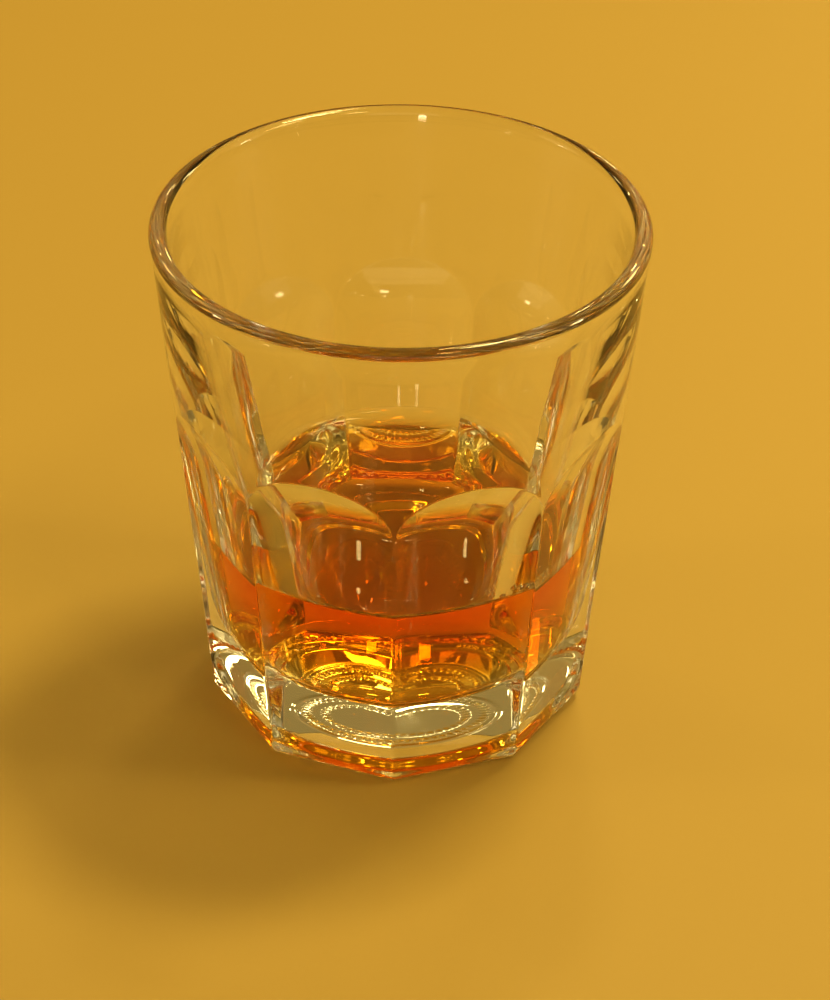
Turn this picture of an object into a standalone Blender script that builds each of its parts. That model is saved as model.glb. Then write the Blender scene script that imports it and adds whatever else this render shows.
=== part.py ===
"""A short measure of bourbon, without ice, in a pressed rocks tumbler with nine flat panels.

The tumbler stands on its foot at Z = 0 with its axis on Z, and one ridge between two panels faces -Y.
"""

import math

import bmesh
import bpy

# The tumbler's outside: a plain cone, whose lower part is cut into flat panels
HEIGHT = 0.0950
MOUTH_RADIUS = 0.0430
FOOT_RADIUS = 0.0333
HEEL_RADIUS = 0.0030
RIM_RADIUS = 0.0016

# Nine panels, each a flat face that scoops out to the cone in a round arch
PANELS = 9
SCOOP_START = 0.0545
SCOOP_RADIUS = 0.0250
RIDGE_ROUNDING = 0.00015

# The inside: a wall that narrows downwards, a little faster near the floor, and a thick floor
INNER_MOUTH_RADIUS = 0.0400
INNER_TAPER = 0.144
INNER_BOW = 0.78
WALL_TOP = HEIGHT - 1.6 * RIM_RADIUS
FLOOR_HEIGHT = 0.0123
FLOOR_CORNER_RADIUS = 0.0060

# The underside: a flat bearing ring round a shallow recess
RECESS_RADIUS = 0.0258
RECESS_FLAT = 0.0205
RECESS_DEPTH = 0.0013

# The drink, which climbs the wall a little where it meets it
DRINK_LEVEL = 0.0341
MENISCUS_RISE = 0.0020
CAPILLARY_LENGTH = 0.0018
GAP = 0.0003

TURN_STEPS = 8 * PANELS
ARC_STEPS = 8
WALL_STEPS = 8
RECESS_STEPS = 6
CUTTER_HALF_WIDTH = 0.0200
CUTTER_MARGIN = 0.0040
FIRST_HEEL_ANGLE = math.radians(12)
SCOOP_ANGLE = math.radians(42)

half_panel = math.pi / PANELS
cone_slope = (MOUTH_RADIUS - FOOT_RADIUS) / HEIGHT


def clear_scene():
    for old in list(bpy.data.objects):
        bpy.data.objects.remove(old, do_unlink=True)


def new_collection(name):
    collection = bpy.data.collections.new(name)
    bpy.context.scene.collection.children.link(collection)
    return collection


def new_material(name, colour, roughness, ior, transmission):
    material = bpy.data.materials.new(name)
    material.use_nodes = True
    shader = material.node_tree.nodes["Principled BSDF"]
    shader.inputs["Base Color"].default_value = (*colour, 1.0)
    shader.inputs["Roughness"].default_value = roughness
    shader.inputs["Metallic"].default_value = 0.0
    shader.inputs["IOR"].default_value = ior
    shader.inputs["Transmission Weight"].default_value = transmission
    material.diffuse_color = (*colour, 1.0)
    return material


def arc(centre, radius, first, last, steps=ARC_STEPS):
    """Points round a centre in the profile's plane, with both ends."""
    points = []
    for i in range(steps + 1):
        angle = first + (last - first) * i / steps
        points.append((centre[0] + radius * math.cos(angle), centre[1] + radius * math.sin(angle)))
    return points


def heel_centre(radius_at_foot, slope):
    """The centre of the arc that joins a flared side to the underside."""
    offset = HEEL_RADIUS * (math.hypot(1, slope) - slope)
    return radius_at_foot - offset, HEEL_RADIUS


def inner_radius(height):
    depth = HEIGHT - height
    return INNER_MOUTH_RADIUS - INNER_TAPER * depth - INNER_BOW * depth * depth


def floor_corner():
    """The centre of the arc between the floor and the wall, and the angle at which it meets the wall."""
    top = FLOOR_HEIGHT + FLOOR_CORNER_RADIUS
    for _ in range(8):
        angle = -math.atan(INNER_TAPER + 2 * INNER_BOW * (HEIGHT - top))
        top = FLOOR_HEIGHT + FLOOR_CORNER_RADIUS * (1 + math.sin(angle))
    across = inner_radius(top) - FLOOR_CORNER_RADIUS * math.cos(angle)
    return (across, FLOOR_HEIGHT + FLOOR_CORNER_RADIUS), angle


def wall(first, last, gap=0.0):
    """Points along the inside of the wall from one height to another, without the first."""
    points = []
    for i in range(1, WALL_STEPS + 1):
        height = first + (last - first) * i / WALL_STEPS
        points.append((inner_radius(height) - gap, height))
    return points


def recess():
    """The underside's step, from the edge of the bearing ring to the flat middle."""
    points = []
    for i in range(RECESS_STEPS + 1):
        share = i / RECESS_STEPS
        radius = RECESS_RADIUS + (RECESS_FLAT - RECESS_RADIUS) * share
        points.append((radius, RECESS_DEPTH * share * share * (3 - 2 * share)))
    return points


def tumbler_profile():
    """From the middle of the floor, up the inside, over the rim, down the outside and in below."""
    corner, wall_angle = floor_corner()
    inside = arc(corner, FLOOR_CORNER_RADIUS, -math.pi / 2, wall_angle)
    inside += wall(inside[-1][1], WALL_TOP)
    rim_centre = (MOUTH_RADIUS - RIM_RADIUS, HEIGHT - RIM_RADIUS)
    rim = arc(rim_centre, RIM_RADIUS, math.pi - math.atan(INNER_TAPER), -math.atan(cone_slope))
    heel = heel_centre(FOOT_RADIUS, cone_slope)
    outside = arc(heel, HEEL_RADIUS, -math.atan(cone_slope), -math.pi / 2)
    return [(0, FLOOR_HEIGHT)] + inside + rim + outside + recess() + [(0, RECESS_DEPTH)]


def meniscus_distance(rise):
    """How far from an upright wall a liquid's surface stands this much above its level."""
    height = rise / CAPILLARY_LENGTH
    return CAPILLARY_LENGTH * (math.acosh(2 / height) - math.sqrt(4 - height * height))


def drink_profile():
    """From the middle of the surface out over the meniscus, down the wall and in over the floor."""
    contact = DRINK_LEVEL + MENISCUS_RISE
    edge = inner_radius(contact) - GAP
    surface = [(0, DRINK_LEVEL)]
    for fall in (5, 3.5, 2.5, 1.6, 1, 0.6, 0.3, 0):
        rise = MENISCUS_RISE * math.exp(-fall)
        distance = meniscus_distance(rise) - meniscus_distance(MENISCUS_RISE)
        surface.append((edge - distance, DRINK_LEVEL + rise))
    centre, wall_angle = floor_corner()
    corner = arc(centre, FLOOR_CORNER_RADIUS - GAP, wall_angle, -math.pi / 2)
    side = wall(contact, corner[0][1], GAP)[:-1]
    return surface + side + corner + [(0, FLOOR_HEIGHT + GAP)]


def turned(name, profile, collection):
    """A solid of revolution: the profile, in the XZ plane, under a Screw modifier."""
    mesh = bpy.data.meshes.new(name)
    points = [(x, 0, z) for x, z in profile]
    edges = [(i, i + 1) for i in range(len(points) - 1)]
    mesh.from_pydata(points, edges, [])
    solid = bpy.data.objects.new(name, mesh)
    collection.objects.link(solid)
    screw = solid.modifiers.new("Turn", "SCREW")
    screw.steps = TURN_STEPS
    screw.render_steps = TURN_STEPS
    screw.use_merge_vertices = True
    screw.merge_threshold = 0.00001
    screw.use_smooth_shade = False
    solid.rotation_euler.z = -math.pi / 2
    return solid


def applied(solid, collection):
    """The object's evaluated mesh as a plain mesh object in its place."""
    bpy.context.view_layer.update()
    graph = bpy.context.evaluated_depsgraph_get()
    mesh = bpy.data.meshes.new_from_object(solid.evaluated_get(graph))
    name = solid.name
    matrix = solid.matrix_world.copy()
    bpy.data.objects.remove(solid, do_unlink=True)
    work = bmesh.new()
    work.from_mesh(mesh)
    bmesh.ops.remove_doubles(work, verts=work.verts, dist=0.000001)
    bmesh.ops.recalc_face_normals(work, faces=work.faces)
    work.to_mesh(mesh)
    work.free()
    mesh.name = name
    plain = bpy.data.objects.new(name, mesh)
    plain.matrix_world = matrix
    collection.objects.link(plain)
    return plain


def panel_outline():
    """The outline, outside one panel, of what is cut away: across is the distance from the axis."""
    flat = math.cos(half_panel)
    slope = cone_slope * flat
    foot = (FOOT_RADIUS - RIDGE_ROUNDING) * flat
    length = math.hypot(1, slope)
    heel = heel_centre(foot, slope)
    heel_points = arc(heel, HEEL_RADIUS, FIRST_HEEL_ANGLE - math.pi / 2, -math.atan(slope))
    below = heel_points[0][0] - (heel_points[0][1] + CUTTER_MARGIN) / math.tan(FIRST_HEEL_ANGLE)
    start = (foot + slope * SCOOP_START, SCOOP_START)
    scoop = []
    for i in range(ARC_STEPS + 1):
        angle = SCOOP_ANGLE * i / ARC_STEPS
        outward = SCOOP_RADIUS * (1 - math.cos(angle)) / length
        upward = SCOOP_RADIUS * math.sin(angle) / length
        scoop.append((start[0] + outward + slope * upward, start[1] + upward - slope * outward))
    far = MOUTH_RADIUS + CUTTER_MARGIN
    return [(below, -CUTTER_MARGIN)] + heel_points + scoop + [(far, scoop[-1][1]), (far, -CUTTER_MARGIN)]


def panel_cutter(collection):
    """One cutter, a flat outline made thick, standing on its edge and facing +X."""
    curve = bpy.data.curves.new("Panel cutter", "CURVE")
    curve.dimensions = "2D"
    curve.fill_mode = "BOTH"
    curve.extrude = CUTTER_HALF_WIDTH
    outline = panel_outline()
    spline = curve.splines.new("POLY")
    spline.points.add(len(outline) - 1)
    for point, (across, height) in zip(spline.points, outline):
        point.co = (across, height, 0, 1)
    spline.use_cyclic_u = True
    cutter = bpy.data.objects.new("Panel cutter", curve)
    cutter.rotation_euler.x = math.pi / 2
    collection.objects.link(cutter)
    return applied(cutter, collection)


def cut_panels(tumbler, collection):
    """Nine cutters round the axis, taken away in one Boolean. A ridge between two panels faces -Y."""
    first = panel_cutter(collection)
    upright = first.rotation_euler.x
    for i in range(PANELS):
        cutter = first if i == 0 else bpy.data.objects.new(f"Panel cutter {i + 1}", first.data)
        if i:
            collection.objects.link(cutter)
        turn = -math.pi / 2 + half_panel * (2 * i + 1)
        cutter.rotation_euler = (upright, 0, turn)
        cutter.hide_render = True
        cutter.display_type = "WIRE"
    cut = tumbler.modifiers.new("Panels", "BOOLEAN")
    cut.operation = "DIFFERENCE"
    cut.solver = "EXACT"
    cut.operand_type = "COLLECTION"
    cut.collection = collection


def shade(solid, material):
    solid.data.materials.append(material)
    solid.data.shade_smooth()
    solid.data.set_sharp_from_angle(angle=math.radians(24))


def main():
    clear_scene()
    parts = new_collection("Glass of bourbon")
    cutters = new_collection("Cutters")
    clear_glass = new_material("Clear pressed glass", (0.96, 0.97, 0.95), 0.02, 1.51, 1.0)
    amber_drink = new_material("Amber bourbon", (0.74, 0.29, 0.02), 0.0, 1.36, 0.9)

    tumbler = applied(turned("glass", tumbler_profile(), parts), parts)
    cut_panels(tumbler, cutters)
    tumbler = applied(tumbler, parts)
    shade(tumbler, clear_glass)

    drink = applied(turned("bourbon", drink_profile(), parts), parts)
    shade(drink, amber_drink)
    cutters.hide_render = True


main()
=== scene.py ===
"""A short measure of bourbon in a clear pressed tumbler with nine arched panels, lit in a plain studio.

Lengths are in metres. The tumbler's axis is Z, it stands at Z = 0, and one ridge faces -Y.
"""

import math

import bmesh
import bpy
from mathutils import Matrix, Vector


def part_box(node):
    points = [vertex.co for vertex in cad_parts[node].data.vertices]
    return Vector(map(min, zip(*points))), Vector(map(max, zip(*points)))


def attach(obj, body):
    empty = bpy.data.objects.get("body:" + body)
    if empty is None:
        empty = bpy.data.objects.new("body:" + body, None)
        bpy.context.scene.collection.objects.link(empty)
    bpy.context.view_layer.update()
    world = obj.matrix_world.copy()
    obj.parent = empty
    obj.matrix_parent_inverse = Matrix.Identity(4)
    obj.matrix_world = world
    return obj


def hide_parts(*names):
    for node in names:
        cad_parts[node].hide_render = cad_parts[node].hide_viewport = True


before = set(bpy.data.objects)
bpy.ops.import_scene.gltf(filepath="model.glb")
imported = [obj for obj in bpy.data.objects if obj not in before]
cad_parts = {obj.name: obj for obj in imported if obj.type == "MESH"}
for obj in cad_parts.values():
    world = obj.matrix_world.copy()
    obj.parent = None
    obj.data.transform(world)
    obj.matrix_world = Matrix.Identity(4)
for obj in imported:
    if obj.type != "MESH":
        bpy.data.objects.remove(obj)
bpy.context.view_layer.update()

# The tumbler's outside
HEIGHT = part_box("glass")[1].z
MOUTH_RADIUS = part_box("glass")[1].x
FOOT_RADIUS = 0.0333
HEEL_RADIUS = 0.0030
RIM_RADIUS = 0.0016
PANELS = 9
SCOOP_START = 0.0545
SCOOP_RADIUS = 0.0250
MEAN_ARCH_RISE = 0.0060
CONE_SLOPE = (MOUTH_RADIUS - FOOT_RADIUS) / HEIGHT
CONE_TOP = HEIGHT - 1.4 * RIM_RADIUS
CONE_FOOT = 1.1 * HEEL_RADIUS

# The tumbler's inside and underside
INNER_MOUTH_RADIUS = 0.0400
INNER_TAPER = 0.144
INNER_BOW = 0.78
WALL_TOP = HEIGHT - 1.6 * RIM_RADIUS
FLOOR_HEIGHT = 0.0123
FLOOR_CORNER_RADIUS = 0.0060
RECESS_RADIUS = 0.0258
RECESS_FLAT = 0.0205
RECESS_DEPTH = 0.0013

# The low relief of the underside: bars round the bearing ring, and in the middle a ring with two rows of
# bars. Each of the two has its limits, as shares of the ring's radius, and its number of bars.
FOOT_BARS = (0.0262, 0.0283)
BARS_MARGIN = 0.0002
RELIEF_RADIUS = 0.0160
RELIEF_MIDDLE = 0.4 * RELIEF_RADIUS
RING_RADIUS = 0.0136
MIDDLE_BARS = ((0.76, 0.92, 46), (0.52, 0.64, 30))

# A row of bars rises over this share of its breadth, and all of them lie below this share of the height
BAR_SHOULDER = 0.3
UNDERSIDE_SHARE = 0.05

# The arches lift the rows from one share of the scoop's start to one of the height, and the scoop is
# followed up to a share of its radius
LIFT_START = 0.3
LIFT_END = 0.97
SCOOP_REACH = 0.95

# The pressed wall's waviness fades in above the foot and out below the rim, at shares of the height
WAVES_IN = (0.06, 0.2)
WAVES_OUT = (0.85, 0.97)
WAVE_DETAIL = 1.0

# The drink, which climbs the wall and reaches just into it. The climb begins as many factors of e below
# its full rise as FIRST_FALL says.
DRINK_LEVEL = 0.0341
MENISCUS_RISE = 0.0020
CAPILLARY_LENGTH = 0.0018
WETTING = 0.00004
CONTACT_HEIGHT = DRINK_LEVEL + MENISCUS_RISE
FIRST_FALL = 6.0
DRINK_TURN_STEPS = 216
DRINK_SHARP_ANGLE = math.radians(30)

# How far the middle of a bead stands off the wall, and its flat back off its middle, as shares of half
# its thickness
BEAD_STANDOFF = 0.6
BEAD_BACK = 0.65

# Rows of points along each stretch of the two profiles, which crowd where the arches begin
ROW_CROWDING = 2.0
FLOOR_ROWS = 9
CORNER_ROWS = 14
WALL_ROWS = 36
RIM_ROWS = 16
UPPER_ROWS = 18
LOWER_ROWS = 32
HEEL_ROWS = 10
BEARING_ROWS = 11
STEP_ROWS = 14
FLAT_ROWS = 6
RELIEF_ROWS = 34
MIDDLE_ROWS = 6
SURFACE_ROWS = 6
MENISCUS_ROWS = 40
DRINK_WALL_ROWS = 24

# Points nearer than these are merged, and the floor corner's place is settled in a few rounds
SEAM_MERGE = 1e-6
POLE_MERGE = 1e-7
CORNER_ROUNDS = 8

# The finish of the glass: dull smudges, and how little it mirrors where the drink wets it
SMUDGE_SCALE = 55.0
SMUDGE_DETAIL = 3.0
SMUDGE_RANGE = (0.56, 0.74)
SMUDGE_ROUGHNESS = 0.03
WETTED_MARGIN = 0.0005
WETTED_MIRROR = (0.06, 0.06, 0.06, 1.0)

# The floor, a hair below the foot
FLOOR_HALF_WIDTH = 3.0
FLOOR_DROP = 0.00005

# The lamps' colours
WARM = (1.0, 0.80, 0.34)
PALE = (1.0, 0.83, 0.50)

# The room's glow, from level at 0.5 to straight up at 1
GLOW = [
    (0.50, (0.08, 0.05, 0.01, 1.0)),
    (0.58, (0.14, 0.10, 0.02, 1.0)),
    (0.68, (0.32, 0.23, 0.075, 1.0)),
    (0.86, (0.25, 0.18, 0.05, 1.0)),
    (0.95, (0.16, 0.11, 0.02, 1.0)),
]

# The camera that fits the photograph, which is 1000 pixels high. AIM_RIGHT and AIM_UP are in radians.
PHOTO_HEIGHT = 1000
SENSOR = 36.0
FOCAL_PIXELS = 4400
CAMERA_DISTANCE = 0.776
CAMERA_PITCH = math.radians(33.13)
CAMERA_AZIMUTH = math.radians(1.05)
CAMERA_ROLL = math.radians(0.58)
AIM_HEIGHT = 0.045
AIM_RIGHT = 0.0037
AIM_UP = -0.0073


class Wire:
    """A node's output, on which Python's operators add Math nodes."""

    def __init__(self, sketch, socket):
        self.sketch = sketch
        self.socket = socket

    def out(self, name):
        """Another output of the same node."""
        return self.sketch.wire(self.socket.node, name)

    def math(self, operation, *others):
        return self.sketch.math(operation, self, *others)

    def __add__(self, other):
        return self.sketch.math("ADD", self, other)

    def __radd__(self, other):
        return self.sketch.math("ADD", other, self)

    def __sub__(self, other):
        return self.sketch.math("SUBTRACT", self, other)

    def __rsub__(self, other):
        return self.sketch.math("SUBTRACT", other, self)

    def __mul__(self, other):
        return self.sketch.math("MULTIPLY", self, other)

    def __rmul__(self, other):
        return self.sketch.math("MULTIPLY", other, self)

    def __truediv__(self, other):
        return self.sketch.math("DIVIDE", self, other)

    def __rtruediv__(self, other):
        return self.sketch.math("DIVIDE", other, self)


class Sketch:
    """A node tree. One method adds a node of any type, from its settings and its sockets' values."""

    def __init__(self, tree):
        self.tree = tree

    def wire(self, node, output):
        if isinstance(output, int):
            return Wire(self, node.outputs[output])
        return Wire(self, next(s for s in node.outputs if s.name == output and s.enabled))

    def node(self, kind, settings=None, values=None, output=0):
        made = self.tree.nodes.new(kind)
        for name, setting in (settings or {}).items():
            if name == "stops":
                set_stops(made.color_ramp, setting)
            else:
                setattr(made, name, setting)
        for name, value in (values or {}).items():
            if isinstance(name, int):
                socket = made.inputs[name]
            else:
                socket = next(s for s in made.inputs if s.name == name and s.enabled)
            if isinstance(value, Wire):
                self.tree.links.new(value.socket, socket)
            else:
                socket.default_value = value
        return self.wire(made, output) if len(made.outputs) else None

    def math(self, operation, *values):
        return self.node("ShaderNodeMath", {"operation": operation}, dict(enumerate(values)))

    def smooth_step(self, value, low, high, at_low=0.0, at_high=1.0):
        values = {
            "Value": value, "From Min": low, "From Max": high, "To Min": at_low, "To Max": at_high}
        return self.node("ShaderNodeMapRange", {"interpolation_type": "SMOOTHSTEP"}, values)

    def noise(self, vector, scale, detail):
        values = {"Vector": vector, "Scale": scale, "Detail": detail}
        return self.node("ShaderNodeTexNoise", {}, values)

    def point(self, x, y, z):
        return self.node("ShaderNodeCombineXYZ", {}, {"X": x, "Y": y, "Z": z})


def set_stops(ramp, stops):
    """Stops are (position, colour) pairs, in order."""
    while len(ramp.elements) < len(stops):
        ramp.elements.new(1.0)
    for element, (position, colour) in zip(ramp.elements, stops):
        element.position = position
        element.color = colour


# Turned profiles

def arc(centre, radius, first, last, steps):
    """Points round a centre, with both ends."""
    points = []
    for i in range(steps + 1):
        angle = first + (last - first) * i / steps
        points.append((centre[0] + radius * math.cos(angle), centre[1] + radius * math.sin(angle)))
    return points


def eased(first, last, steps, power=1.0):
    """Values after first, up to last. A power above 1 crowds them near first."""
    return [first + (last - first) * (i / steps) ** power for i in range(1, steps + 1)]


def cone_radius(height):
    return FOOT_RADIUS + CONE_SLOPE * height


def inner_radius(height):
    """The cavity narrows downwards, a little faster near the floor."""
    depth = HEIGHT - height
    return INNER_MOUTH_RADIUS - INNER_TAPER * depth - INNER_BOW * depth * depth


def inner_slope(height):
    return INNER_TAPER + 2 * INNER_BOW * (HEIGHT - height)


def floor_corner():
    """The centre of the arc between floor and wall, and the angle at which it meets the wall."""
    top = FLOOR_HEIGHT + FLOOR_CORNER_RADIUS
    for _ in range(CORNER_ROUNDS):
        angle = -math.atan(inner_slope(top))
        top = FLOOR_HEIGHT + FLOOR_CORNER_RADIUS * (1 + math.sin(angle))
    across = inner_radius(top) - FLOOR_CORNER_RADIUS * math.cos(angle)
    return (across, FLOOR_HEIGHT + FLOOR_CORNER_RADIUS), angle


def recess_height(radius):
    """How far the underside stands clear of the table, inside the bearing ring."""
    share = min(max((radius - RECESS_FLAT) / (RECESS_RADIUS - RECESS_FLAT), 0), 1)
    return RECESS_DEPTH * (1 - share * share * (3 - 2 * share))


def inside_rows():
    """Rows from the floor's middle out and up the wall."""
    corner, wall_angle = floor_corner()
    rows = [(0.0, FLOOR_HEIGHT)]
    rows += [(radius, FLOOR_HEIGHT) for radius in eased(0.0, corner[0], FLOOR_ROWS)][:-1]
    rows += arc(corner, FLOOR_CORNER_RADIUS, -math.pi / 2, wall_angle, CORNER_ROWS)
    rows += [(inner_radius(z), z) for z in eased(rows[-1][1], WALL_TOP, WALL_ROWS)]
    return rows


def outside_rows():
    """Rows down the cone. They crowd where the panels' arches begin."""
    upper = eased(SCOOP_START, CONE_TOP, UPPER_ROWS, ROW_CROWDING)
    lower = eased(SCOOP_START, CONE_FOOT, LOWER_ROWS, ROW_CROWDING)
    heights = upper[::-1] + [SCOOP_START] + lower
    heel_inset = HEEL_RADIUS * (math.hypot(1, CONE_SLOPE) - CONE_SLOPE)
    heel_centre = (FOOT_RADIUS - heel_inset, HEEL_RADIUS)
    heel = arc(heel_centre, HEEL_RADIUS, -math.atan(CONE_SLOPE), -math.pi / 2, HEEL_ROWS)
    return [(cone_radius(z), z) for z in heights] + heel


def underside_rows():
    """Rows in across the underside. They are closest together under the low relief."""
    outer = FOOT_BARS[1]
    radii = [outer + BARS_MARGIN] + eased(outer, RECESS_RADIUS, BEARING_ROWS)
    radii += eased(RECESS_RADIUS, RECESS_FLAT, STEP_ROWS)
    radii += eased(RECESS_FLAT, RELIEF_RADIUS, FLAT_ROWS)
    radii += eased(RELIEF_RADIUS, RELIEF_MIDDLE, RELIEF_ROWS)
    radii += eased(RELIEF_MIDDLE, 0.0, MIDDLE_ROWS)
    return [(radius, recess_height(radius)) for radius in radii]


def tumbler_rows():
    """(radius, height, 1 if outside) from the floor's middle round to the underside's middle."""
    rim_centre = (MOUTH_RADIUS - RIM_RADIUS, HEIGHT - RIM_RADIUS)
    first, last = math.pi - math.atan(INNER_TAPER), -math.atan(CONE_SLOPE)
    rim = arc(rim_centre, RIM_RADIUS, first, last, RIM_ROWS)
    rows = [(*point, 0.0) for point in inside_rows() + rim]
    rows += [(*point, 1.0) for point in outside_rows()]
    rows += [(*point, 0.0) for point in underside_rows()]
    return rows


# Meshes

def link(name, mesh):
    made = bpy.data.objects.new(name, mesh)
    bpy.context.scene.collection.objects.link(made)
    return made


def line_object(name, points):
    """A mesh of one open line through the points."""
    mesh = bpy.data.meshes.new(name)
    mesh.from_pydata(points, [(i, i + 1) for i in range(len(points) - 1)], [])
    return link(name, mesh)


def bake(made):
    """Gives the object its modifiers' result as its own mesh, and leaves no modifier."""
    bpy.context.view_layer.update()
    graph = bpy.context.evaluated_depsgraph_get()
    mesh = bpy.data.meshes.new_from_object(made.evaluated_get(graph))
    made.modifiers.clear()
    old = made.data
    made.data = mesh
    bpy.data.meshes.remove(old)
    mesh.name = made.name


def close_up(made):
    """Merges the seam and the poles, and turns every face outwards."""
    work = bmesh.new()
    work.from_mesh(made.data)
    bmesh.ops.remove_doubles(work, verts=work.verts, dist=POLE_MERGE)
    bmesh.ops.recalc_face_normals(work, faces=work.faces)
    if work.calc_volume(signed=True) < 0:
        bmesh.ops.reverse_faces(work, faces=work.faces)
    work.to_mesh(made.data)
    work.free()
    made.data.shade_smooth()


def node_group(name, sizes):
    """A Geometry Nodes tree with a named input for each size. Returns its sketch and input wires."""
    tree = bpy.data.node_groups.new(name, "GeometryNodeTree")
    tree.interface.new_socket("Geometry", in_out="INPUT", socket_type="NodeSocketGeometry")
    tree.interface.new_socket("Geometry", in_out="OUTPUT", socket_type="NodeSocketGeometry")
    tree.interface.new_socket("Material", in_out="INPUT", socket_type="NodeSocketMaterial")
    for size in sizes:
        tree.interface.new_socket(size, in_out="INPUT", socket_type="NodeSocketFloat")
    sketch = Sketch(tree)
    start = tree.nodes.new("NodeGroupInput")
    return sketch, {s.name: Wire(sketch, s) for s in start.outputs if s.name}


def finish_group(sketch, geometry, material):
    """Ends a tree in Realize Instances and Set Material."""
    real = sketch.node("GeometryNodeRealizeInstances", {}, {"Geometry": geometry})
    done = sketch.node("GeometryNodeSetMaterial", {}, {"Geometry": real, "Material": material})
    sketch.node("NodeGroupOutput", {}, {"Geometry": done})


def run_group(made, sketch, values):
    """Runs a tree on an object as a modifier, with its inputs set by their identifiers."""
    modifier = made.modifiers.new(sketch.tree.name, "NODES")
    modifier.node_group = sketch.tree
    for item in sketch.tree.interface.items_tree:
        if item.in_out == "INPUT" and item.name in values:
            modifier[item.identifier] = values[item.name]
    bake(made)


def knurled(sketch, angle, distance, inner, outer, count):
    """Rounded radial bars on the underside between two distances from the axis, 1 on their crests."""
    shoulder = (outer - inner) * BAR_SHOULDER
    band = sketch.smooth_step(distance, inner, inner + shoulder)
    band = band * sketch.smooth_step(distance, outer - shoulder, outer, 1.0, 0.0)
    return band * ((angle * count).math("COSINE") * 0.5 + 0.5)


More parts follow.
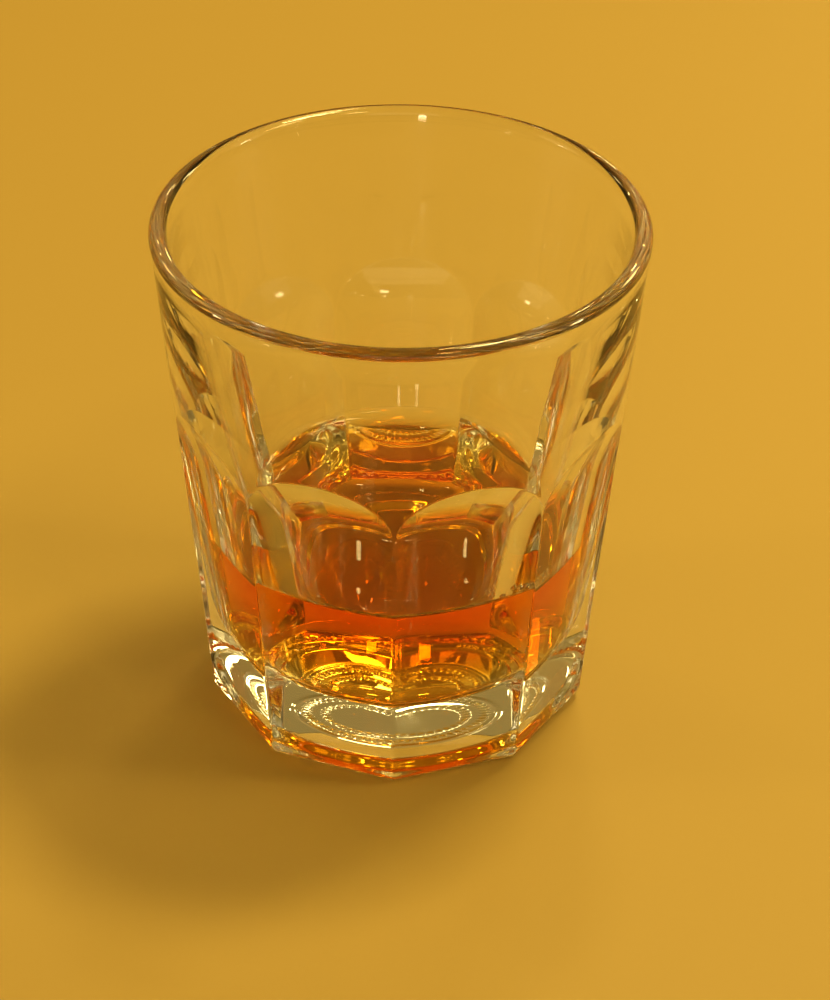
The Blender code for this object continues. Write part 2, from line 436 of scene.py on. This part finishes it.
def tumbler_group():
    """Bends a grid round the axis along the profile, and presses the panels into its outside."""
    sketch, given = node_group("Pressed tumbler", [
        "Height", "Mouth Radius", "Foot Radius", "Panels", "Columns per Panel", "Column Crowding",
        "Scoop Start", "Scoop Radius", "Ridge Blend", "Arch Blend", "Waviness", "Wave Scale",
        "Ring Radius", "Ring Width", "Relief Height", "Knurl Depth", "Foot Knurls"])
    profile = given["Geometry"]
    rows = sketch.node("GeometryNodeAttributeDomainSize", {}, {"Geometry": profile}, "Point Count")
    columns = given["Panels"] * given["Columns per Panel"]
    grid = sketch.node("GeometryNodeMeshGrid", {}, {
        "Size X": 1.0, "Size Y": 1.0, "Vertices X": columns + 1, "Vertices Y": rows}, "Mesh")
    position = sketch.node("GeometryNodeInputPosition")
    place = sketch.node("ShaderNodeSeparateXYZ", {}, {"Vector": position})

    row = ((place.out("Y") + 0.5) * (rows - 1)).math("ROUND")
    sampled = sketch.node("GeometryNodeSampleIndex", {"data_type": "FLOAT_VECTOR"}, {
        "Geometry": profile, "Value": position, "Index": row})
    sampled = sketch.node("ShaderNodeSeparateXYZ", {}, {"Vector": sampled})
    radius, outside, height = sampled.out("X"), sampled.out("Y"), sampled.out("Z")

    turn = (place.out("X") + 0.5) * given["Panels"]
    across = turn.math("FRACT") * 2 - 1
    to_edge = 1 - across.math("ABSOLUTE")
    crowded = across.math("SIGN") * (1 - to_edge.math("POWER", given["Column Crowding"]))
    half = math.pi / given["Panels"]
    from_middle = crowded * half
    angle = (turn.math("FLOOR") * 2 + 1 + crowded) * half - math.pi / 2

    slope = (given["Mouth Radius"] - given["Foot Radius"]) / given["Height"]
    middle_cos = from_middle.math("COSINE")
    edge_cos = half.math("COSINE")
    arch_radius = given["Foot Radius"] + slope * (given["Scoop Start"] + MEAN_ARCH_RISE)
    depth = (arch_radius * (middle_cos - edge_cos)).math("MAXIMUM", 0.0)
    lift = (depth * (2 * given["Scoop Radius"] - depth)).math("SQRT")
    rising = sketch.smooth_step(height, given["Scoop Start"] * LIFT_START, given["Scoop Start"])
    falling = sketch.smooth_step(height, given["Scoop Start"], given["Height"] * LIFT_END, 1.0, 0.0)
    raised = height + lift * rising * falling * outside

    over = (raised - given["Scoop Start"]).math("MAXIMUM", 0.0)
    over = over.math("MINIMUM", given["Scoop Radius"] * SCOOP_REACH)
    squared = given["Scoop Radius"] * given["Scoop Radius"]
    scoop = given["Scoop Radius"] - (squared - over * over).math("SQRT")
    flat = (given["Foot Radius"] + slope * raised) * edge_cos + scoop
    neighbour = (half * 2 - from_middle.math("ABSOLUTE")).math("COSINE")
    facets = (flat / middle_cos).math("SMOOTH_MIN", flat / neighbour, given["Ridge Blend"])
    cone = given["Foot Radius"] + slope * raised
    pressed = facets.math("SMOOTH_MIN", cone, given["Arch Blend"])
    rounded_off = given["Foot Radius"] + slope * height - radius
    outer = pressed - rounded_off
    reached = radius + (outer - radius) * outside

    noise_place = sketch.point(angle.math("COSINE") * reached, angle.math("SINE") * reached, raised)
    ripple = sketch.noise(noise_place, given["Wave Scale"], WAVE_DETAIL)
    low, high = (given["Height"] * share for share in WAVES_IN)
    away_from_foot = sketch.smooth_step(raised, low, high)
    low, high = (given["Height"] * share for share in WAVES_OUT)
    away_from_rim = sketch.smooth_step(raised, low, high, 1.0, 0.0)
    wavy = reached + (ripple - 0.5) * given["Waviness"] * away_from_foot * away_from_rim * outside

    from_ring = (radius - given["Ring Radius"]).math("ABSOLUTE") / given["Ring Width"]
    relief = sketch.smooth_step(from_ring, 0.0, 1.0, 1.0, 0.0)
    for inner, outer, count in MIDDLE_BARS:
        relief = relief + knurled(sketch, angle, radius / given["Ring Radius"], inner, outer, count)
    middle = sketch.math("LESS_THAN", height, given["Height"] * UNDERSIDE_SHARE) * (1 - outside)
    foot = knurled(sketch, angle, radius, *FOOT_BARS, given["Foot Knurls"]) * middle
    sunk = raised - relief * given["Relief Height"] * middle + foot * given["Knurl Depth"]

    spot = sketch.point(angle.math("COSINE") * wavy, angle.math("SINE") * wavy, sunk)
    bent = sketch.node("GeometryNodeSetPosition", {}, {"Geometry": grid, "Position": spot})
    joined = sketch.node("GeometryNodeMergeByDistance", {}, {"Geometry": bent, "Distance": SEAM_MERGE})
    finish_group(sketch, joined, given["Material"])
    return sketch


def tumbler(material):
    """The whole tumbler, bent round its axis from its profile, in place of the plain solid."""
    rows = [(radius, outside, height) for radius, height, outside in tumbler_rows()]
    made = line_object("tumbler", rows)
    run_group(made, tumbler_group(), {
        "Material": material,
        "Height": HEIGHT,
        "Mouth Radius": MOUTH_RADIUS,
        "Foot Radius": FOOT_RADIUS,
        "Panels": float(PANELS),
        "Columns per Panel": 36.0,
        "Column Crowding": 1.5,
        "Scoop Start": SCOOP_START,
        "Scoop Radius": SCOOP_RADIUS,
        "Ridge Blend": 0.0004,
        "Arch Blend": 0.00012,
        "Waviness": 0.00008,
        "Wave Scale": 90.0,
        "Ring Radius": RING_RADIUS,
        "Ring Width": 0.0010,
        "Relief Height": 0.00011,
        "Knurl Depth": 0.00015,
        "Foot Knurls": 72.0,
    })
    close_up(made)
    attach(made, "root")
    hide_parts("glass")


def meniscus_distance(rise):
    """How far from an upright wall a liquid's surface stands this much above its level."""
    height = rise / CAPILLARY_LENGTH
    return CAPILLARY_LENGTH * (math.acosh(2 / height) - math.sqrt(4 - height * height))


def drink_rows():
    """From the surface's middle out over the meniscus, down the wall and in over the floor."""
    edge = inner_radius(CONTACT_HEIGHT)
    climbing = [MENISCUS_RISE * math.exp(-fall) for fall in eased(FIRST_FALL, 0.0, MENISCUS_ROWS)]
    start = edge - meniscus_distance(climbing[0]) + meniscus_distance(MENISCUS_RISE)
    level = eased(0.0, start - CAPILLARY_LENGTH, SURFACE_ROWS)
    rows = [(0.0, DRINK_LEVEL)] + [(radius, DRINK_LEVEL) for radius in level]
    for rise in climbing:
        distance = meniscus_distance(rise) - meniscus_distance(MENISCUS_RISE)
        rows.append((edge - distance, DRINK_LEVEL + rise))
    rows.append((edge + WETTING, CONTACT_HEIGHT - WETTING))
    corner, wall_angle = floor_corner()
    below = arc(corner, FLOOR_CORNER_RADIUS + WETTING, wall_angle, -math.pi / 2, CORNER_ROWS)
    heights = eased(CONTACT_HEIGHT, below[0][1], DRINK_WALL_ROWS)[:-1]
    rows += [(inner_radius(z) + WETTING, z) for z in heights]
    return rows + below + [(0.0, FLOOR_HEIGHT - WETTING)]


def drink(material):
    """The bourbon, turned from its profile, in place of the plain solid."""
    made = line_object("bourbon_pour", [(radius, 0.0, height) for radius, height in drink_rows()])
    turned = made.modifiers.new("Turn", "SCREW")
    turned.steps = DRINK_TURN_STEPS
    turned.render_steps = DRINK_TURN_STEPS
    turned.use_merge_vertices = True
    turned.merge_threshold = POLE_MERGE
    bake(made)
    close_up(made)
    made.data.set_sharp_from_angle(angle=DRINK_SHARP_ANGLE)
    made.data.materials.clear()
    made.data.materials.append(material)
    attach(made, "root")
    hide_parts("bourbon")


def beads_group():
    """Scatters rounded beads, flat at the back, over a part of the cavity's wall."""
    sketch, given = node_group("Beads on the wall", [
        "Count", "Seed", "First Angle", "Last Angle", "Lowest", "Highest", "Smallest", "Largest",
        "Flatness", "Height", "Inner Mouth Radius", "Inner Taper", "Inner Bow"])
    limits = (("First Angle", "Last Angle"), ("Lowest", "Highest"), ("Smallest", "Largest"))
    picked = []
    for step, (low, high) in enumerate(limits):
        values = {"Min": given[low], "Max": given[high], "Seed": given["Seed"] + step}
        picked.append(sketch.node("FunctionNodeRandomValue", {"data_type": "FLOAT"}, values, "Value"))
    angle, height, size = picked
    depth = given["Height"] - height
    wall = given["Inner Mouth Radius"] - depth * given["Inner Taper"]
    wall = wall - depth * depth * given["Inner Bow"]
    lean = (given["Inner Taper"] + depth * given["Inner Bow"] * 2).math("ARCTANGENT")
    thick = size * given["Flatness"]
    out = wall - thick * BEAD_STANDOFF
    spot = sketch.point(angle.math("COSINE") * out, angle.math("SINE") * out, height)
    points = sketch.node("GeometryNodePoints", {}, {"Count": given["Count"], "Position": spot})
    ball = sketch.node("GeometryNodeMeshIcoSphere", {}, {"Radius": 1.0, "Subdivisions": 4}, "Mesh")
    position = sketch.node("GeometryNodeInputPosition")
    place = sketch.node("ShaderNodeSeparateXYZ", {}, {"Vector": position})
    flat_back = sketch.point(place.out("X").math("MINIMUM", BEAD_BACK), place.out("Y"), place.out("Z"))
    bead = sketch.node("GeometryNodeSetPosition", {}, {"Geometry": ball, "Position": flat_back})
    scattered = sketch.node("GeometryNodeInstanceOnPoints", {}, {
        "Points": points,
        "Instance": bead,
        "Rotation": sketch.point(0.0, lean, angle),
        "Scale": sketch.point(thick, size, size),
    })
    finish_group(sketch, scattered, given["Material"])
    return sketch


def edge_beads(material):
    """Small beads of the drink on the wall, along its edge at the front right."""
    made = link("edge_beads", bpy.data.meshes.new("edge_beads"))
    run_group(made, beads_group(), {
        "Material": material,
        "Height": HEIGHT,
        "Inner Mouth Radius": INNER_MOUTH_RADIUS,
        "Inner Taper": INNER_TAPER,
        "Inner Bow": INNER_BOW,
        "Count": 16.0,
        "Seed": 11.0,
        "First Angle": math.radians(-62),
        "Last Angle": math.radians(-36),
        "Lowest": CONTACT_HEIGHT + 0.0002,
        "Highest": CONTACT_HEIGHT + 0.0016,
        "Smallest": 0.00030,
        "Largest": 0.00085,
        "Flatness": 0.8,
    })
    close_up(made)
    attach(made, "root")


# Materials

def new_material(name):
    material = bpy.data.materials.new(name)
    material.use_nodes = True
    material.node_tree.nodes.clear()
    return material, Sketch(material.node_tree)


def from_axis(sketch):
    """The distance from the axis, the height, and the cavity's radius at that height, as wires."""
    place = sketch.node("ShaderNodeTexCoord", {}, {}, "Object")
    spot = sketch.node("ShaderNodeSeparateXYZ", {}, {"Vector": place})
    x, y, height = spot.out("X"), spot.out("Y"), spot.out("Z")
    depth = HEIGHT - height
    wall = INNER_MOUTH_RADIUS - depth * INNER_TAPER - depth * depth * INNER_BOW
    return (x * x + y * y).math("SQRT"), height, wall


def see_through(sketch, wetted, values):
    """A clear surface. Where glass and drink touch, it mirrors hardly anything head on."""
    values = {**values, "Transmission Weight": 1.0}
    dry = sketch.node("ShaderNodeBsdfPrincipled", {}, values)
    values = {**values, "Specular Tint": WETTED_MIRROR}
    touching = sketch.node("ShaderNodeBsdfPrincipled", {}, values)
    return sketch.node("ShaderNodeMixShader", {}, {0: wetted, 1: dry, 2: touching})


def pressed_glass():
    """Clear soda-lime glass with a few dull smudges. Its inside is wetted up to the drink's edge."""
    material, sketch = new_material("pressed_glass")
    radius, height, wall = from_axis(sketch)
    inside = radius.math("LESS_THAN", wall + WETTED_MARGIN)
    inside = inside * height.math("GREATER_THAN", FLOOR_HEIGHT - WETTED_MARGIN)
    wetted = inside * height.math("LESS_THAN", CONTACT_HEIGHT)
    place = sketch.node("ShaderNodeTexCoord", {}, {}, "Object")
    smudge = sketch.smooth_step(sketch.noise(place, SMUDGE_SCALE, SMUDGE_DETAIL), *SMUDGE_RANGE)
    shader = see_through(sketch, wetted, {
        "Base Color": (0.985, 0.99, 0.975, 1.0),
        "Roughness": smudge * SMUDGE_ROUGHNESS,
        "IOR": 1.51,
    })
    sketch.node("ShaderNodeOutputMaterial", {}, {"Surface": shader})
    return material


def amber_bourbon():
    """Clear spirit that darkens to amber and orange with depth. Only its top meets the air."""
    material, sketch = new_material("amber_bourbon")
    radius, height, wall = from_axis(sketch)
    at_wall = radius.math("GREATER_THAN", wall - WETTING)
    wetting = at_wall.math("MAXIMUM", height.math("LESS_THAN", DRINK_LEVEL - WETTING))
    shader = see_through(sketch, wetting, {
        "Base Color": (1.0, 1.0, 1.0, 1.0),
        "Roughness": 0.0,
        "IOR": 1.36,
    })
    depth = sketch.node("ShaderNodeVolumeAbsorption", {}, {
        "Color": (0.992, 0.79, 0.0, 1.0),
        "Density": 155.0,
    })
    sketch.node("ShaderNodeOutputMaterial", {}, {"Surface": shader, "Volume": depth})
    return material


def pale_floor():
    """A plain floor in pale gold."""
    material, sketch = new_material("pale_floor")
    shader = sketch.node("ShaderNodeBsdfPrincipled", {}, {
        "Base Color": (0.60, 0.405, 0.105, 1.0),
        "Roughness": 0.55,
    })
    sketch.node("ShaderNodeOutputMaterial", {}, {"Surface": shader})
    return material


# Studio

def lay_floor():
    mesh = bpy.data.meshes.new("floor")
    work = bmesh.new()
    bmesh.ops.create_grid(work, x_segments=1, y_segments=1, size=FLOOR_HALF_WIDTH)
    work.to_mesh(mesh)
    work.free()
    floor = link("floor", mesh)
    floor.location.z = -FLOOR_DROP
    mesh.materials.append(pale_floor())


def softbox(name, place, size, power, colour):
    """A rectangular lamp that faces the tumbler. Its power is in watts."""
    light = bpy.data.lights.new(name, "AREA")
    light.shape = "RECTANGLE"
    light.size, light.size_y = size
    light.energy = power
    light.color = colour
    made = bpy.data.objects.new(name, light)
    bpy.context.scene.collection.objects.link(made)
    made.location = place
    aim = Vector((0, 0, HEIGHT / 2)) - made.location
    made.rotation_euler = aim.to_track_quat("-Z", "Y").to_euler()


def light_room():
    """An even glow that changes only with height."""
    world = bpy.data.worlds.new("studio")
    bpy.context.scene.world = world
    world.use_nodes = True
    world.node_tree.nodes.clear()
    sketch = Sketch(world.node_tree)
    direction = sketch.node("ShaderNodeTexCoord", {}, {}, "Generated")
    up = sketch.node("ShaderNodeSeparateXYZ", {}, {"Vector": direction}, "Z")
    colour = sketch.node("ShaderNodeValToRGB", {"stops": GLOW}, {"Fac": up * 0.5 + 0.5})
    glow = sketch.node("ShaderNodeBackground", {}, {"Color": colour, "Strength": 1.0})
    sketch.node("ShaderNodeOutputWorld", {}, {"Surface": glow})


def light_tumbler():
    """Warm lamps above and behind, pale ones at the front and sides, and small ones for the glints."""
    softbox("key_behind_right", (0.67, 0.54, 0.53), (0.16, 0.18), 1.2, WARM)
    softbox("high_right", (0.54, -0.10, 0.84), (0.20, 0.20), 1.0, WARM)
    softbox("top", (0.24, 0.20, 0.92), (0.16, 0.16), 3.0, WARM)
    softbox("high_front_right", (0.26, -0.44, 0.92), (0.12, 0.12), 0.5, WARM)
    softbox("fill_behind_left", (-0.58, 0.58, 0.60), (0.12, 0.12), 0.35, WARM)
    softbox("front", (0.0, -1.30, 0.70), (0.80, 0.60), 1.3, PALE)
    softbox("side_left", (-1.20, -0.15, 0.65), (0.50, 0.60), 0.8, PALE)
    softbox("side_right", (1.20, -0.15, 0.65), (0.50, 0.60), 0.5, PALE)
    softbox("bulb_behind", (0.08, 0.84, 0.66), (0.02, 0.03), 0.10, WARM)
    softbox("bulb_left", (-0.46, 0.74, 0.60), (0.02, 0.02), 0.12, WARM)
    softbox("bulb_right", (0.30, 0.80, 0.68), (0.03, 0.03), 0.2, WARM)
    softbox("strip_left", (-0.225, 0.80, 0.59), (0.035, 0.008), 0.03, WARM)
    softbox("strip_right", (0.215, 0.81, 0.59), (0.035, 0.008), 0.03, WARM)
    softbox("bulb_high", (0.10, 0.55, 0.98), (0.10, 0.10), 0.7, WARM)
    softbox("bulb_low", (0.20, 0.95, 0.27), (0.06, 0.06), 0.2, WARM)
    softbox("low_front", (-0.29, -2.00, 0.23), (0.13, 0.13), 2.2, PALE)
    softbox("low_right", (0.90, -0.12, 0.38), (0.10, 0.10), 1.0, PALE)
    softbox("low_left", (-0.90, -0.12, 0.30), (0.07, 0.07), 0.6, PALE)


def place_camera():
    """The photograph's view: pitch and distance about the aim point, then small turns of the aim."""
    camera = bpy.data.cameras.new("camera")
    camera.sensor_width = SENSOR
    camera.sensor_height = SENSOR
    camera.lens = SENSOR * FOCAL_PIXELS / PHOTO_HEIGHT
    forward = Vector((0, math.cos(CAMERA_PITCH), -math.sin(CAMERA_PITCH)))
    right = Vector((1, 0, 0))
    up = right.cross(forward)
    place = Vector((0, 0, AIM_HEIGHT)) - forward * CAMERA_DISTANCE
    aim = forward * math.cos(AIM_RIGHT) + right * math.sin(AIM_RIGHT)
    aim = aim * math.cos(AIM_UP) + up * math.sin(AIM_UP)
    level = aim.cross(Vector((0, 0, 1))).normalized()
    above = level.cross(aim)
    side = level * math.cos(CAMERA_ROLL) + above * math.sin(CAMERA_ROLL)
    above = side.cross(aim)
    pose = Matrix((side, above, -aim)).transposed().to_4x4()
    pose.translation = place
    made = bpy.data.objects.new("camera", camera)
    made.matrix_world = Matrix.Rotation(CAMERA_AZIMUTH, 4, "Z") @ pose
    bpy.context.scene.collection.objects.link(made)
    bpy.context.scene.camera = made


tumbler(pressed_glass())
bourbon = amber_bourbon()
drink(bourbon)
edge_beads(bourbon)
lay_floor()
light_room()
light_tumbler()
place_camera()

scene = bpy.context.scene
scene.view_settings.view_transform = "Standard"
scene.view_settings.look = "Medium High Contrast"
scene.cycles.use_denoising = True
scene.cycles.max_bounces = 24
scene.cycles.transmission_bounces = 24
scene.cycles.glossy_bounces = 12
scene.cycles.caustics_refractive = True
scene.cycles.caustics_reflective = True
